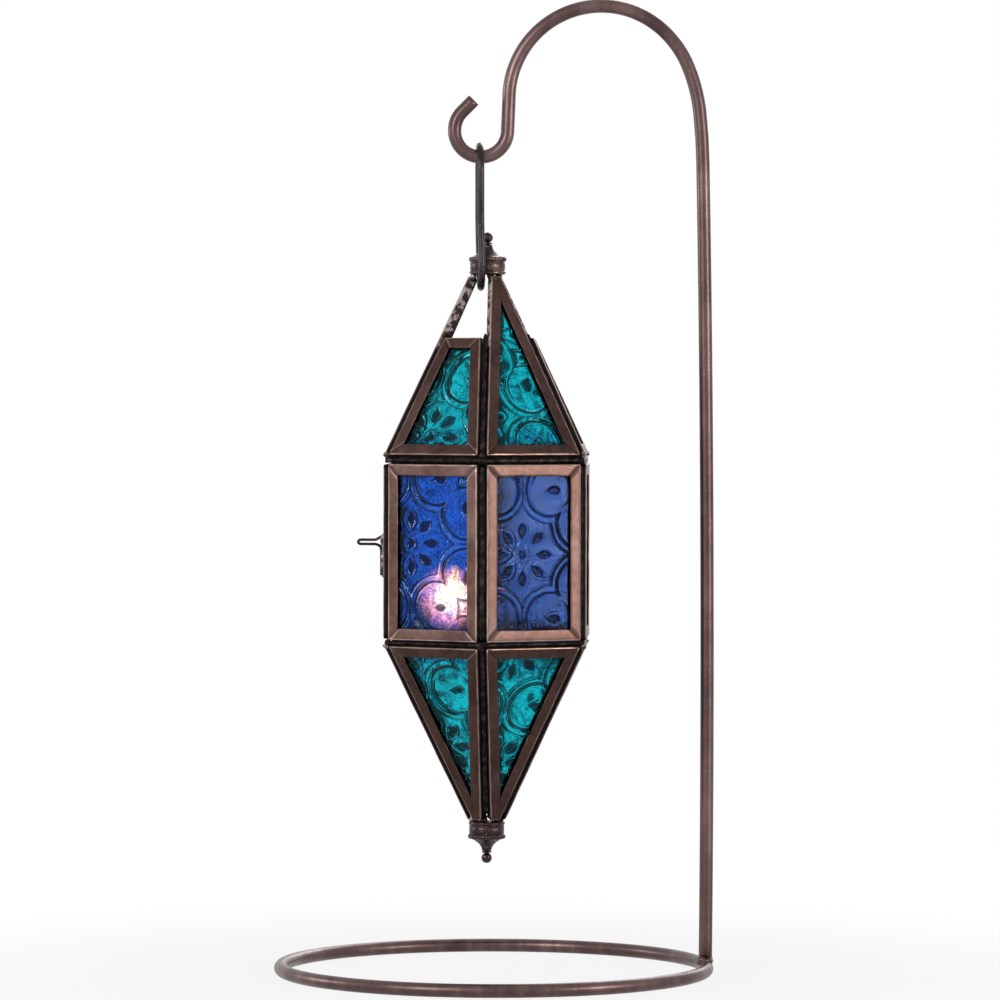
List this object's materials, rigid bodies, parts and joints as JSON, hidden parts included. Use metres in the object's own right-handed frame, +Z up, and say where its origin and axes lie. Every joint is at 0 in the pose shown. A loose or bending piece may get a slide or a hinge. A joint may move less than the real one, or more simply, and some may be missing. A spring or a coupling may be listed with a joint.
{
  "type": "hanging candle lantern",
  "caption": "Hexagonal pressed-glass candle lantern in folded metal channels, hung by a wire link from a bent-rod stand with a ring base, with a hinged glass door and a tealight inside.",
  "frame": {"origin": "centre of the base ring, on the surface that the stand rests on", "axes": "+Z up, +X from the lantern towards the stand's upright, -Y towards the viewer of the picture"},
  "size_m": [0.1758, 0.1758, 0.3899],
  "materials": {
    "bronze_rod": "dark bronze lacquer over steel rod, satin",
    "copper_channel": "antique copper over folded steel sheet, rubbed bright on the folds",
    "spun_cap": "antique copper, rubbed",
    "solder": "dull tin solder",
    "teal_glass": "pressed in relief, stippled ground",
    "cobalt_glass": "pressed in relief, stippled ground",
    "tealight_tin": "pressed foil",
    "wax": "candle wax",
    "wick": "burnt cotton"
  },
  "bodies": {
    "stand": {"base_ring": "bronze_rod", "hook_rod": "bronze_rod", "foot_weld": "bronze_rod"},
    "link": {"hanging_link": "bronze_rod"},
    "lantern": {"top_cap": "spun_cap", "top_finial": "spun_cap", "bottom_cap": "spun_cap", "bottom_finial": "spun_cap", "upper_frame_front_left": "copper_channel", "upper_frame_front_right": "copper_channel", "upper_frame_right": "copper_channel", "upper_frame_back_right": "copper_channel", "upper_frame_back_left": "copper_channel", "upper_frame_left": "copper_channel", "upper_pane_front_left": "teal_glass", "upper_pane_front_right": "teal_glass", "upper_pane_right": "teal_glass", "upper_pane_back_right": "teal_glass", "upper_pane_back_left": "teal_glass", "upper_pane_left": "teal_glass", "middle_frame_front_left": "copper_channel", "middle_frame_front_right": "copper_channel", "middle_frame_right": "copper_channel", "middle_frame_back_right": "copper_channel", "middle_frame_back_left": "copper_channel", "middle_pane_front_left": "cobalt_glass", "middle_pane_front_right": "cobalt_glass", "middle_pane_right": "cobalt_glass", "middle_pane_back_right": "cobalt_glass", "middle_pane_back_left": "cobalt_glass", "lower_frame_front_left": "copper_channel", "lower_frame_front_right": "copper_channel", "lower_frame_right": "copper_channel", "lower_frame_back_right": "copper_channel", "lower_frame_back_left": "copper_channel", "lower_frame_left": "copper_channel", "lower_pane_front_left": "teal_glass", "lower_pane_front_right": "teal_glass", "lower_pane_right": "teal_glass", "lower_pane_back_right": "teal_glass", "lower_pane_back_left": "teal_glass", "lower_pane_left": "teal_glass", "floor_plate": "copper_channel", "hinge_knuckle_top": "copper_channel", "hinge_knuckle_bottom": "copper_channel", "hinge_pin": "bronze_rod", "solder_upper": "solder", "solder_lower": "solder", "solder_post_1": "solder", "solder_post_2": "solder", "solder_post_3": "solder", "solder_post_4": "solder"},
    "door": {"door_frame": "copper_channel", "door_pane": "cobalt_glass", "door_pull": "solder", "hinge_knuckle_door": "copper_channel"},
    "tealight": {"tealight_tin": "tealight_tin", "tealight_wax": "wax", "tealight_wick": "wick"}
  },
  "joints": [
    {"name": "link_swing", "type": "hinge", "parent": "stand", "child": "link", "pos_m": [-0.0056, 0, 0.3271], "axis": [1, 0, 0], "range_deg": [-30, 30]},
    {"name": "lantern_sway", "type": "hinge", "parent": "link", "child": "lantern", "pos_m": [-0.0056, 0, 0.2803], "axis": [0, 1, 0], "range_deg": [-7, 7]},
    {"name": "door_hinge", "type": "hinge", "parent": "lantern", "child": "door", "pos_m": [-0.0417, 0.02472, 0.16985], "axis": [0, 0, -1], "range_deg": [0, 110]},
    {"name": "tealight_lift", "type": "slide", "parent": "lantern", "child": "tealight", "axis": [0, 0, 1], "range_m": [0, 0.045]}
  ]
}
